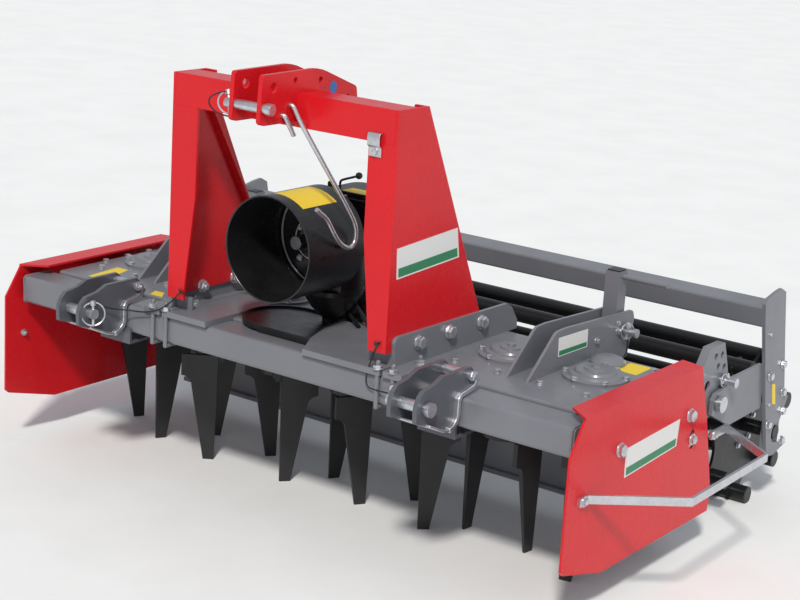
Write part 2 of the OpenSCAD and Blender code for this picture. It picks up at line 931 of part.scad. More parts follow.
// The cage roller: tubes on scalloped discs, on a through axle.
module roller_disc(x) {
    scallop_at = ring + 46;
    scallop_r = 78;
    plate_shape(x, 8)
        translate(axle)
            difference() {
                circle(ring + 15);
                for (i = [0:roller_tubes - 1])
                    rotate(ring_start + (i + 0.5) * 360 / roller_tubes)
                        translate([scallop_at, 0])
                            circle(scallop_r);
            }
}

module roller() {
    half = plate_x - 57;
    disc = half - 44;
    color(black) {
        for (i = [0:roller_tubes - 1])
            along_x(-half, half, axle + ring * [cos(ring_start + i * 360 / roller_tubes),
                                                sin(ring_start + i * 360 / roller_tubes)],
                    roller_tube_d);
        for (x = [-disc, -disc / 3 - 4, disc / 3 - 4, disc - 8])
            roller_disc(x);
        along_x(-plate_x, plate_x, axle, roller_axle_d);
    }
}

// ---------- levelling board ----------

module board_brackets() {
    color(grey)
        both_sides()
            for (x = [post_x - bracket_x, post_x + bracket_x])
                difference() {
                    plate(softened([[-deck_rear + 22, 0], [-45, 104, 12], [0, 106],
                                    [post_pin_y + 46, 90, 10], [post_pin_y + 58, 66, 8],
                                    [post_pin_y + 34, -37, 6], [deck_rear + 91, -32, 6],
                                    [deck_rear, 0]]),
                          x - bracket_sheet / 2, bracket_sheet);
                    along_x(x - bracket_sheet, x + bracket_sheet,
                            [post_pin_y, post_pin_z], post_pin_d + 1);
                }
}

module board_pins() {
    at = [post_pin_y, post_pin_z];
    out = post_x + bracket_x + bracket_sheet / 2;
    color(zinc)
        both_sides() {
            along_x(post_x - bracket_x - 20, out + 36, at, post_pin_d);
            along_x(out + 36, out + 44, at, post_pin_d + 8);
        }
}

module levelling_board() {
    end = deck_half - board_end_gap;
    low = board_clear - deck_z;
    color(grey) {
        block([-end, board_front, low + 12], [end, board_front + board_sheet,
                                              low + board_high]);
        block([-end, board_front - 14, low], [end, board_front + board_sheet, low + 12]);
    }
}

// The two square posts that carry the board, each with a slot for its bracket's
// pin and a handle near the top.
handle_long = 130;
handle_d = 14;
handle_drop = 14;

module board_posts() {
    slot = post_pin_d / 2 + 2;
    inner = post_x - post_size / 2;
    outer = post_x + post_size / 2;
    color(grey)
        both_sides() {
            difference() {
                block([inner, post_front_y, board_clear + 90 - deck_z],
                      [outer, post_front_y + post_size, post_top]);
                block([inner - CUT, post_pin_y - slot, post_pin_z - board_lift - slot],
                      [outer + CUT, post_pin_y + slot, post_pin_z + slot]);
            }
            along_x(outer, outer + handle_long, [post_pin_y, post_top - handle_drop],
                    handle_d);
        }
}

// ---------- rotors ----------

// One forged tine, standing on the floor with its flat faces along X: one
// upright edge, and a tapered edge that runs out under a wide shoulder. It
// thins towards the tip.
module tine() {
    top = hub_bottom + tine_seat;
    run_out = hub_bottom - 72;
    neck = tine_shoulder - tine_fillet;
    intersection() {
        rotate([90, 0, 0])
            linear_extrude(tine_thick, center = true)
                difference() {
                    polygon([[-tine_tip / 2, 0], [tine_tip / 2, 0], [tine_heel, top],
                             [-tine_shoulder, top], [-tine_shoulder, run_out],
                             [-neck, run_out]]);
                    translate([-tine_shoulder, run_out])
                        circle(tine_fillet);
                }
        rotate([90, 0, 90])
            linear_extrude(3 * tine_shoulder, center = true)
                polygon([[-tine_edge / 2, 0], [tine_edge / 2, 0],
                         [tine_thick / 2, run_out], [tine_thick / 2, top],
                         [-tine_thick / 2, top], [-tine_thick / 2, run_out]]);
    }
}

// One rotor: a holder with a pair of tines, mirrored from rotor to rotor.
module rotor(i) {
    arm_wide = 72;
    hand = i % 2 == 0 ? 0 : 1;
    color(black)
        translate([rotor_x(i), rotor_y, 0])
            rotate([0, 0, rotor_angle[i - 1]]) {
                for (s = [0, 180])
                    rotate([0, 0, s])
                        translate([tine_radius, 0, 0])
                            rotate([0, 0, 90])
                                mirror([hand, 0, 0])
                                    tine();
                translate([-tine_radius, -arm_wide / 2, hub_bottom])
                    cube([2 * tine_radius, arm_wide, hub_top - hub_bottom - 12]);
                translate([0, 0, hub_bottom])
                    cylinder(d = hub_flange_d, h = hub_top - hub_bottom);
                translate([0, 0, hub_top])
                    cylinder(d = hub_shaft_d, h = hub_shaft_long);
            }
}

module rotor_1() { rotor(1); }
module rotor_2() { rotor(2); }
module rotor_3() { rotor(3); }
module rotor_4() { rotor(4); }
module rotor_5() { rotor(5); }
module rotor_6() { rotor(6); }
module rotor_7() { rotor(7); }

gear_case();
deck();
bearing_covers();
front_beam();
post_right();
post_left();
foot_right();
foot_left();
cross_tube();
top_link_plates();
top_link_pin();
hitch_ears_right();
hitch_ears_left();
hitch_pins();
u_bolts();
gearbox();
gearbox_stand();
pto_guard();
pto_shaft();
pto_hook();
side_plate_right();
side_plate_left();
side_bar_right();
side_bar_left();
sector_plates();
depth_pins();
pivot_pins();
side_mounts();
board_brackets();
board_pins();
levelling_board();
board_posts();
roller_beam();
roller_arm_right();
roller_arm_left();
roller();
rotor_1();
rotor_2();
rotor_3();
rotor_4();
rotor_5();
rotor_6();
rotor_7();
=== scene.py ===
"""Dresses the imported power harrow: paint, fasteners, blank labels, pins and lanyards."""
import json
import math
import random

import bmesh
import bpy
from mathutils import Matrix, Vector


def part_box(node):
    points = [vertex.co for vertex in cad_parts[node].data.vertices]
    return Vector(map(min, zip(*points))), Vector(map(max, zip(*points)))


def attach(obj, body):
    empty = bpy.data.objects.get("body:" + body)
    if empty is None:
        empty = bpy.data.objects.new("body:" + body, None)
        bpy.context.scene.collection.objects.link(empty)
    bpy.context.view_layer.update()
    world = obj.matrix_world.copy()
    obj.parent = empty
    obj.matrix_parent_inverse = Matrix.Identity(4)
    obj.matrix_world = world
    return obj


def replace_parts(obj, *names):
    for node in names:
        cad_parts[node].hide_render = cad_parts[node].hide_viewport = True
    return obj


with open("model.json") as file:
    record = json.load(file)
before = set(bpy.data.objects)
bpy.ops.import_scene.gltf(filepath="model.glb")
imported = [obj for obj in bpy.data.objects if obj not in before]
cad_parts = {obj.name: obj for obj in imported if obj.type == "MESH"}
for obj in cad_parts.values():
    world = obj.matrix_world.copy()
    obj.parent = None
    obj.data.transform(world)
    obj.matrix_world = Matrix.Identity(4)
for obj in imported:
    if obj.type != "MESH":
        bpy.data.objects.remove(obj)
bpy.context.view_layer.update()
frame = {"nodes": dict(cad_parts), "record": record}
nodes = frame["nodes"]
rng = random.Random(7)

MM = 0.001
# The angle from which an edge counts as sharp and is bevelled.
SHARP = math.radians(40)
# The rotor line, from which every y below is measured.
RY = 0.5 * (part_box("rotor_4")[0][1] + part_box("rotor_4")[1][1])


def at(x, y, z):
    """A point from the centre plane, the rotor line and the floor, in mm."""
    return Vector((x * MM, RY + y * MM, z * MM))


# Places on the CAD parts, in the same mm. Each face is the outer one of the part's pair.
PITCH = 250
DECK_Z = 506
COVER_Z = 528
LID_Z = 845
SHAFT_Z = 750
FOOT_FACE = 371
POST_FACE = 361
SIDE_FACE = 932
ARM_FACE = 925
BRACKET_FACE = 656
ROLLER_Y, ROLLER_Z = 742, 224
SIDE_BAR_ENDS = (-345, 316)
SIDE_BAR_Z = 325
HITCH_PIN_Y, HITCH_PIN_Z = -503, 501
BOARD_PIN_Y, BOARD_PIN_Z = 296, 548

SIDES = ((1, "right"), (-1, "left"))


# ---------- camera ----------

def make_camera():
    """The photograph's viewing point and angle."""
    data = bpy.data.cameras.new("camera")
    cam = bpy.data.objects.new("camera", data)
    bpy.context.scene.collection.objects.link(cam)
    data.sensor_width = 36.0
    data.lens = 82.14
    data.clip_end = 100.0
    right = Vector((0.80565809, 0.58937731, 0.05957704))
    down = Vector((0.19918441, -0.17480777, -0.96424470))
    ahead = Vector((-0.55788942, 0.78871836, -0.25823000))
    eye = at(2846.57, -3822.63, 1830.32)
    turn = Matrix((right, -down, -ahead)).transposed().to_4x4()
    cam.matrix_world = Matrix.Translation(eye) @ turn
    bpy.context.scene.camera = cam


make_camera()

# ---------- materials ----------

def new_material(name):
    """A material with one Principled shader, its tree and that shader."""
    mat = bpy.data.materials.new(name)
    mat.use_nodes = True
    tree = mat.node_tree
    tree.nodes.clear()
    out = tree.nodes.new("ShaderNodeOutputMaterial")
    bsdf = tree.nodes.new("ShaderNodeBsdfPrincipled")
    tree.links.new(bsdf.outputs["BSDF"], out.inputs["Surface"])
    return mat, tree, bsdf


def noise(tree, coords, scale, detail=3.0, rough=0.5, stretch=None):
    """Noise over the object's own coordinates, drawn out along an axis by stretch."""
    node = tree.nodes.new("ShaderNodeTexNoise")
    node.inputs["Scale"].default_value = scale
    node.inputs["Detail"].default_value = detail
    node.inputs["Roughness"].default_value = rough
    source = coords
    if stretch:
        mapping = tree.nodes.new("ShaderNodeMapping")
        mapping.inputs["Scale"].default_value = stretch
        tree.links.new(coords, mapping.inputs["Vector"])
        source = mapping.outputs["Vector"]
    tree.links.new(source, node.inputs["Vector"])
    return node.outputs["Fac"]


def ramp(tree, fac, stops):
    """A colour ramp: stops is [(position, colour), ...]."""
    node = tree.nodes.new("ShaderNodeValToRGB")
    elements = node.color_ramp.elements
    while len(elements) < len(stops):
        elements.new(0.5)
    for e, (pos, col) in zip(elements, stops):
        e.position = pos
        e.color = (*col, 1.0) if len(col) == 3 else col
    tree.links.new(fac, node.inputs["Fac"])
    return node.outputs["Color"]


def mix(tree, fac, a, b):
    """A colour between a and b. Each input is a number, a colour or another node's output."""
    node = tree.nodes.new("ShaderNodeMix")
    node.data_type = "RGBA"
    for socket, value in ((node.inputs["Factor"], fac), (node.inputs["A"], a),
                          (node.inputs["B"], b)):
        if isinstance(value, (int, float)):
            socket.default_value = value
        elif isinstance(value, tuple):
            socket.default_value = (*value, 1.0)
        else:
            tree.links.new(value, socket)
    return [o for o in node.outputs if o.enabled][0]


def shade(value, k):
    """A colour made k times as bright."""
    return tuple(min(1.0, c * k) for c in value)


def paint(name, colour, rough=0.32, vary=0.10, dust=0.25, dust_colour=(0.45, 0.42, 0.37),
          grain=900.0, bump=0.03, coat=0.0, spec=0.5):
    """Paint over metal: slow colour change, fine orange peel, dust on upward faces."""
    mat, tree, bsdf = new_material(name)
    coords = tree.nodes.new("ShaderNodeTexCoord").outputs["Object"]
    slow = noise(tree, coords, 5.0, 4.0)
    col = ramp(tree, slow, [(0.30, shade(colour, 1.0 - vary)), (0.72, shade(colour, 1.0 + vary))])
    if dust:
        geo = tree.nodes.new("ShaderNodeNewGeometry")
        split = tree.nodes.new("ShaderNodeSeparateXYZ")
        tree.links.new(geo.outputs["Normal"], split.inputs["Vector"])
        patch = noise(tree, coords, 14.0, 6.0, 0.65)
        patch_r = ramp(tree, patch, [(0.38, (0, 0, 0)), (0.80, (1, 1, 1))])
        up = tree.nodes.new("ShaderNodeMath")
        up.operation = "MULTIPLY_ADD"
        up.use_clamp = True
        tree.links.new(split.outputs["Z"], up.inputs[0])
        up.inputs[1].default_value = dust * 0.75
        up.inputs[2].default_value = dust * 0.25
        amount = tree.nodes.new("ShaderNodeMath")
        amount.operation = "MULTIPLY"
        tree.links.new(up.outputs[0], amount.inputs[0])
        tree.links.new(patch_r, amount.inputs[1])
        col = mix(tree, amount.outputs[0], col, dust_colour)
    tree.links.new(col, bsdf.inputs["Base Color"])
    r = noise(tree, coords, 30.0, 5.0)
    rr = tree.nodes.new("ShaderNodeMapRange")
    tree.links.new(r, rr.inputs["Value"])
    rr.inputs["To Min"].default_value = max(0.02, rough - 0.08)
    rr.inputs["To Max"].default_value = min(1.0, rough + 0.12)
    tree.links.new(rr.outputs["Result"], bsdf.inputs["Roughness"])
    b = tree.nodes.new("ShaderNodeBump")
    b.inputs["Strength"].default_value = bump
    b.inputs["Distance"].default_value = 0.0006
    tree.links.new(noise(tree, coords, grain, 2.0), b.inputs["Height"])
    tree.links.new(b.outputs["Normal"], bsdf.inputs["Normal"])
    bsdf.inputs["Specular IOR Level"].default_value = spec
    if coat:
        bsdf.inputs["Coat Weight"].default_value = coat
        bsdf.inputs["Coat Roughness"].default_value = 0.12
    return mat


def metal(name, colour, rough=0.3, patch=0.25, scratch=0.3):
    """Zinc plate: slightly mottled, with fine scratches."""
    mat, tree, bsdf = new_material(name)
    coords = tree.nodes.new("ShaderNodeTexCoord").outputs["Object"]
    cells = tree.nodes.new("ShaderNodeTexVoronoi")
    cells.inputs["Scale"].default_value = 90.0
    tree.links.new(coords, cells.inputs["Vector"])
    spangle = ramp(tree, cells.outputs["Distance"],
                   [(0.0, shade(colour, 1.0 - patch * 0.4)), (0.7, shade(colour, 1.05))])
    stain = noise(tree, coords, 20.0, 6.0, 0.6)
    col = mix(tree, ramp(tree, stain, [(0.45, (0, 0, 0)), (0.85, (patch, patch, patch))]),
              spangle, (0.30, 0.27, 0.22))
    tree.links.new(col, bsdf.inputs["Base Color"])
    bsdf.inputs["Metallic"].default_value = 0.9
    fine = noise(tree, coords, 400.0, 3.0, 0.6, stretch=(1.0, 0.12, 1.0))
    rr = tree.nodes.new("ShaderNodeMapRange")
    tree.links.new(fine, rr.inputs["Value"])
    rr.inputs["To Min"].default_value = rough - 0.08
    rr.inputs["To Max"].default_value = rough + scratch * 0.5
    tree.links.new(rr.outputs["Result"], bsdf.inputs["Roughness"])
    b = tree.nodes.new("ShaderNodeBump")
    b.inputs["Strength"].default_value = 0.08
    b.inputs["Distance"].default_value = 0.0004
    tree.links.new(fine, b.inputs["Height"])
    tree.links.new(b.outputs["Normal"], bsdf.inputs["Normal"])
    return mat


RED = paint("red_gloss", (0.62, 0.010, 0.016), rough=0.24, vary=0.05, dust=0.03,
            dust_colour=(0.5, 0.25, 0.22), coat=0.03, spec=0.26)
GREY = paint("grey_satin", (0.165, 0.171, 0.190), rough=0.33, vary=0.07, dust=0.14,
             dust_colour=(0.34, 0.34, 0.33), coat=0.15)
DARK = paint("dark_grey_satin", (0.085, 0.090, 0.105), rough=0.33, vary=0.08, dust=0.10,
             dust_colour=(0.28, 0.28, 0.27), coat=0.15)
BLACK = paint("black_satin", (0.012, 0.012, 0.013), rough=0.28, vary=0.10, dust=0.02,
              dust_colour=(0.12, 0.12, 0.12), spec=0.3)
TINE = paint("tine_black", (0.014, 0.014, 0.016), rough=0.45, vary=0.18, dust=0.06,
             dust_colour=(0.18, 0.16, 0.14), grain=500.0, bump=0.22)
PLASTIC = paint("guard_black", (0.008, 0.008, 0.009), rough=0.28, vary=0.10, dust=0.10,
                dust_colour=(0.14, 0.13, 0.12), grain=1400.0, bump=0.05)
ZINC = metal("zinc", (0.62, 0.63, 0.66))
# Dark steel for the drive shaft: partly its grease, partly painted shade for the shade it sits in
# inside the guard.
STEEL_WITH_PAINTED_SHADE = metal("oiled_steel_and_painted_shade", (0.10, 0.10, 0.105), rough=0.38)
WHITE = paint("label_white", (0.72, 0.72, 0.70), rough=0.40, vary=0.02, dust=0.0, bump=0.02)
GREEN = paint("label_green", (0.020, 0.20, 0.085), rough=0.40, vary=0.03, dust=0.0, bump=0.02)
YELLOW = paint("label_yellow", (0.80, 0.58, 0.02), rough=0.42, vary=0.03, dust=0.05, bump=0.02)
BLUE = paint("label_blue", (0.02, 0.14, 0.42), rough=0.35, vary=0.02, dust=0.0, bump=0.02)
RUBBER = paint("lanyard_black", (0.012, 0.012, 0.012), rough=0.5, vary=0.05, dust=0.0,
               grain=2500.0, bump=0.15)

FINISH = {
    "red_paint": RED, "grey_paint": GREY, "dark_grey_paint": DARK, "black_paint": BLACK,
    "tine_steel": TINE, "guard_plastic": PLASTIC, "zinc": ZINC,
}
for part in frame["record"]["subparts"]:
    node = nodes[part["node"]]
    node.data.materials.clear()
    node.data.materials.append(FINISH[part["material_slot"]])

# the drive shaft and its splines take the darker steel, whose colour holds painted shade
nodes["pto_shaft"].data.materials.clear()
nodes["pto_shaft"].data.materials.append(STEEL_WITH_PAINTED_SHADE)

# ---------- pieces ----------


def finish_piece(bm, name, material, body, smooth=True, bevel=0.0):
    """Turns a bmesh into a piece that rides on a body."""
    mesh = bpy.data.meshes.new(name)
    bmesh.ops.recalc_face_normals(bm, faces=bm.faces)
    bm.to_mesh(mesh)
    bm.free()
    obj = bpy.data.objects.new(name, mesh)
    bpy.context.scene.collection.objects.link(obj)
    mesh.materials.append(material)
    if smooth:
        for p in mesh.polygons:
            p.use_smooth = True
        mesh.set_sharp_from_angle(angle=math.radians(35))
    if bevel:
        mod = obj.modifiers.new("bevel", "BEVEL")
        mod.width = bevel
        mod.segments = 2
        mod.limit_method = "ANGLE"
        mod.angle_limit = SHARP
    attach(obj, body)
    return obj


def basis(axis):
    """A rotation that takes +Z to the axis."""
    return Vector(axis).normalized().to_track_quat("Z", "Y").to_matrix().to_4x4()


def turns(count, first=0):
    """Angles evenly round a circle, the first one given in degrees."""
    return [math.radians(first) + 2 * math.pi * k / count for k in range(count)]


def add_disc_stack(bm, place, profile, sides=24):
    """A body of revolution about +Z: profile is [(radius, height), ...]."""
    rings = []
    for r, h in profile:
        if r <= 0:
            rings.append([bm.verts.new(place @ Vector((0, 0, h)))])
            continue
        rings.append([bm.verts.new(place @ Vector((r * math.cos(a), r * math.sin(a), h)))
                      for a in turns(sides)])
    for a, b in zip(rings, rings[1:]):
        for i in range(sides):
            j = (i + 1) % sides
            if len(a) == 1:
                bm.faces.new((a[0], b[i], b[j]))
            elif len(b) == 1:
                bm.faces.new((a[i], a[j], b[0]))
            else:
                bm.faces.new((a[i], a[j], b[j], b[i]))


def add_bolt(bm, point, axis, size, washer=True, turn=0.0, nut=False):
    """A hex head with a domed top, or a nut with its stud's end. size is the thread in mm."""
    place = Matrix.Translation(point) @ basis(axis) @ Matrix.Rotation(turn, 4, "Z")
    d = size * MM
    base = 0.0
    if washer:
        add_disc_stack(bm, place, [(0, 0), (1.05 * d, 0), (1.08 * d, 0.06 * d),
                                   (1.05 * d, 0.18 * d), (0, 0.18 * d)], 24)
        base = 0.18 * d
    high = base + 0.66 * d
    add_disc_stack(bm, place, [(0, base), (0.92 * d, base), (0.92 * d, high - 0.10 * d),
                               (0.80 * d, high), (0, high)], 6)
    if nut:
        add_disc_stack(bm, place, [(0, high), (0.5 * d, high), (0.5 * d, high + 0.34 * d),
                                   (0.42 * d, high + 0.44 * d), (0, high + 0.44 * d)], 16)
    else:
        add_disc_stack(bm, place, [(0.72 * d, high), (0.66 * d, high + 0.02 * d),
                                   (0, high + 0.02 * d)], 16)


def both(points):
    """The points and their mirror images across the centre plane."""
    return [(s * x, y, z) for s in (1, -1) for x, y, z in points]


def bolts(name, spots, axis, size, washer=True):
    """One piece of like bolts on the frame, each turned a little differently."""
    bm = bmesh.new()
    for p in spots:
        add_bolt(bm, p, axis, size, washer, rng.uniform(0, 1.0))
    return finish_piece(bm, name, ZINC, "frame")


def add_tube(bm, points, radius, sides=12, closed=False):
    """A tube along points, with flat caps."""
    pts = [Vector(p) for p in points]
    n = len(pts)
    last = Vector((0.13, 0.21, 0.97))
    rings = []
    for i, p in enumerate(pts):
        back = pts[(i - 1) % n] if closed else pts[max(i - 1, 0)]
        ahead = pts[(i + 1) % n] if closed else pts[min(i + 1, n - 1)]
        t = (ahead - back).normalized()
        last = (last - last.dot(t) * t).normalized()
        side = t.cross(last)
        rings.append([bm.verts.new(p + radius * (math.cos(a) * last + math.sin(a) * side))
                      for a in turns(sides)])
    pairs = list(zip(rings, rings[1:])) + ([(rings[-1], rings[0])] if closed else [])
    for a, b in pairs:
        shift = 0
        if closed and a is rings[-1]:
            shift = min(range(sides), key=lambda s: (a[0].co - b[s].co).length)
        for k in range(sides):
            bm.faces.new((a[k], a[(k + 1) % sides], b[(k + 1 + shift) % sides],
                          b[(k + shift) % sides]))
    if not closed:
        bm.faces.new(rings[0])
        bm.faces.new(list(reversed(rings[-1])))


def curve_points(points, per=6):
    """A Catmull-Rom curve through points."""
    pts = [Vector(p) for p in points]
    pts = [2 * pts[0] - pts[1]] + pts + [2 * pts[-1] - pts[-2]]
    out = []
    for i in range(1, len(pts) - 2):
        p0, p1, p2, p3 = pts[i - 1:i + 3]
        for k in range(per):
            t = k / per
            out.append(0.5 * ((2 * p1) + (p2 - p0) * t + (2 * p0 - 5 * p1 + 4 * p2 - p3) * t * t
                              + (3 * p1 - p0 - 3 * p2 + p3) * t * t * t))
    out.append(pts[-2])
    return out


def filleted(points, bend):
    """The corners of a path, rounded as a rod is bent."""
    steps = 5
    out = [points[0]]
    for a, b, c in zip(points, points[1:], points[2:]):
        u, v = b + bend * (a - b).normalized(), b + bend * (c - b).normalized()
        for k in range(steps + 1):
            t = k / steps
            out.append((1 - t) ** 2 * u + 2 * t * (1 - t) * b + t * t * v)
    return out + [points[-1]]


def add_prism(bm, outline, place, thick):
    """An outline in the place's XY plane, extruded along its +Z."""
    low = [bm.verts.new(place @ Vector((x, y, 0))) for x, y in outline]
    high = [bm.verts.new(place @ Vector((x, y, thick))) for x, y in outline]
    bm.faces.new(list(reversed(low)))
    bm.faces.new(high)
    n = len(outline)
    for i in range(n):
        j = (i + 1) % n
        bm.faces.new((low[i], low[j], high[j], high[i]))


def rounded_rect(w, h, r):
    """The outline of a rectangle with round corners, about its own centre."""
    steps = 4
    out = []
    for cx, cy, start in ((w / 2 - r, h / 2 - r, 0), (-w / 2 + r, h / 2 - r, 90),
                          (-w / 2 + r, -h / 2 + r, 180), (w / 2 - r, -h / 2 + r, 270)):
        for k in range(steps + 1):
            a = math.radians(start + 90 * k / steps)
            out.append((cx + r * math.cos(a), cy + r * math.sin(a)))
    return out


def add_strap(bm, path, thick, x0, x1):
    """A flat strap bent in side view: path is [(y, z), ...] in mm along its middle."""
    pts = [Vector((y, z)) for y, z in path]
    edges = []
    for side in (1, -1):
        edge = []
        for i, p in enumerate(pts):
            a = (pts[i] - pts[i - 1]).normalized() if i else (pts[1] - pts[0]).normalized()
            b = (pts[i + 1] - pts[i]).normalized() if i + 1 < len(pts) else a
            n, m = Vector((-a.y, a.x)), Vector((-b.y, b.x))
            edge.append(p + side * thick / 2 * (n + m) / (1 + n.dot(m)))
        edges.append(edge)
    low, high = sorted((x0, x1))
    section = ((0, low), (0, high), (1, high), (1, low))
    rings = [[bm.verts.new(at(x, *edges[k][i])) for k, x in section] for i in range(len(pts))]
    for a, b in zip(rings, rings[1:]):
        for k in range(4):
            bm.faces.new((a[k], a[(k + 1) % 4], b[(k + 1) % 4], b[k]))
    bm.faces.new(rings[0])
    bm.faces.new(list(reversed(rings[-1])))


def label(name, corners, material, body="frame", thick=0.0005):
    """A thin sticker through four corner points, lifted along its own normal."""
    p = [Vector(c) for c in corners]
    normal = (p[1] - p[0]).cross(p[3] - p[0]).normalized()
    bm = bmesh.new()
    lo = [bm.verts.new(c) for c in p]
    hi = [bm.verts.new(c + normal * thick) for c in p]
    bm.faces.new(list(reversed(lo)))
    bm.faces.new(hi)
    for i in range(4):
        j = (i + 1) % 4
        bm.faces.new((lo[i], lo[j], hi[j], hi[i]))
    return finish_piece(bm, name, material, body, smooth=False)


# ---------- deck, covers and beam ----------

def cover_details():
    """Six bolts and a cap on each rotor's cover, apart from the one under the gearbox."""
    covers = [i * PITCH for i in (-3, -2, -1, 1, 2, 3)]
    flange_z, bolt_circle = 511.6, 77
    bm = bmesh.new()
    for x in covers:
        for a in turns(6, 17):
            spot = at(x + bolt_circle * math.cos(a), bolt_circle * math.sin(a), flange_z)
            add_bolt(bm, spot, (0, 0, 1), 9.5, turn=a)
    finish_piece(bm, "cover_bolts", ZINC, "frame")
    bm = bmesh.new()
    for x in covers:
        place = Matrix.Translation(at(x, 0, COVER_Z))
        add_disc_stack(bm, place, [(0, 0), (0.030, 0), (0.029, 0.003), (0.012, 0.0045),
                                   (0.010, 0.010), (0, 0.010)], 32)
    finish_piece(bm, "cover_caps", GREY, "frame")


def deck_details():
    """The deck's bolts, the front beam's end caps, and the domes behind the outer bearings."""
    rows = [(x, -150, DECK_Z) for x in (430, 557, 680, 812)]
    rows += [(x, 152, DECK_Z) for x in (130, 260, 500, 740, 830)]
    rows += [(856, y, DECK_Z) for y in (-90, 0, 90)]
    bolts("deck_bolts", [at(*p) for p in both(rows)], (0, 0, 1), 10.0)
    # caps welded in the beam's ends, a little proud of the tube
    bm = bmesh.new()
    low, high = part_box("front_beam")
    mid = (Vector(low) + Vector(high)) / 2
    half = (Vector(high) - Vector(low)) / 2
    corners = ((-1, -0.88), (-0.88, -1), (0.88, -1), (1, -0.88), (1, 0.88), (0.88, 1),
               (-0.88, 1), (-1, 0.88))
    for s in (1, -1):
        # the weld bead round the cap
        add_tube(bm, [Vector((s * (half.x - 0.002), mid.y + a * half.y, mid.z + b * half.z))
                      for a, b in corners], 0.003, 8, closed=True)
        place = Matrix.Translation(at(s * 904.5, -315, 461)) @ basis((s, 0, 0))
        add_prism(bm, rounded_rect(0.0700, 0.0940, 0.010),
                  place @ Matrix.Rotation(math.pi / 2, 4, "Z"), 0.004)
    finish_piece(bm, "beam_caps", GREY, "frame", bevel=0.0012)
    # small domed covers, each with its bolts
    bm = bmesh.new()
    boss_x, boss_y, rim = 713, 124, 40
    for s in (1, -1):
        place = Matrix.Translation(at(s * boss_x, boss_y, DECK_Z))
        add_disc_stack(bm, place, [(0, 0), (0.046, 0), (0.046, 0.008), (0.038, 0.016),
                                   (0.026, 0.0215), (0.010, 0.0235), (0, 0.024)], 40)
    finish_piece(bm, "deck_bosses", GREY, "frame")
    spots = [(boss_x + rim * math.cos(a), boss_y + rim * math.sin(a), DECK_Z + 8)
             for a in map(math.radians, (20, 110, 160, 290))]
    bolts("boss_bolts", [at(*p) for p in both(spots)], (0, 0, 1), 8.0)


cover_details()
deck_details()


# ---------- headstock ----------

def post_details():
    """The bolts and nuts of the posts' feet, and the clip for hoses on the near post."""
    thick = 18
    heads = bmesh.new()
    nuts = bmesh.new()
    for x, y, z in both([(FOOT_FACE, -232, 559), (FOOT_FACE, -99, 561), (FOOT_FACE, 49, 558)]):
        out = math.copysign(1, x)
        add_bolt(heads, at(x, y, z), (out, 0, 0), 18.5, turn=0.2 + 0.004 * y)
        add_bolt(nuts, at(x - thick * out, y, z), (-out, 0, 0), 17.0, turn=0.3, nut=True)
    finish_piece(heads, "foot_bolts", ZINC, "frame")
    finish_piece(nuts, "foot_nuts", ZINC, "frame")
    # a wide bridge over a screwed tab
    bm = bmesh.new()
    add_strap(bm, [(-357.6, 1089), (-366, 1088), (-369, 1078), (-368, 1060), (-360.5, 1054),
                   (-359.2, 1046), (-359.2, 1031)], 2.4, 279, 316)
    finish_piece(bm, "hose_clip", ZINC, "frame", bevel=0.0007)
    bolts("hose_clip_bolt", [at(298, -360.4, 1042)], (0, -1, 0), 8.0)


post_details()


# ---------- hitch ----------

def lynch_pin(name, point, axis, across, ring=28.0):
    """A lynch pin through a pin's end: a peg with a head, and the sprung ring on its ends."""
    bm = bmesh.new()
    axis = Vector(axis).normalized()
    across = (Vector(across) - Vector(across).dot(axis) * axis).normalized()
    p = Vector(point)
    add_tube(bm, [p - axis * ring * MM, p + axis * ring * MM], 0.0045, 12)
    add_disc_stack(bm, Matrix.Translation(p + axis * (ring - 8) * MM) @ basis(axis),
                   [(0, 0), (0.0085, 0), (0.0085, 0.010), (0.006, 0.013), (0, 0.013)], 16)
    pts = [p + ring * MM * (math.cos(a) * axis + math.sin(a) * across) for a in turns(36)]
    add_tube(bm, pts, 0.0022, 8, closed=True)
    return finish_piece(bm, name, ZINC, "frame")


def lanyard(name, points):
    """A plastic-covered wire that keeps a lynch pin with its post."""
    pts = curve_points(points, 3)
    bm = bmesh.new()
    add_tube(bm, pts, 0.002, 10)
    obj = finish_piece(bm, name, RUBBER, "frame")


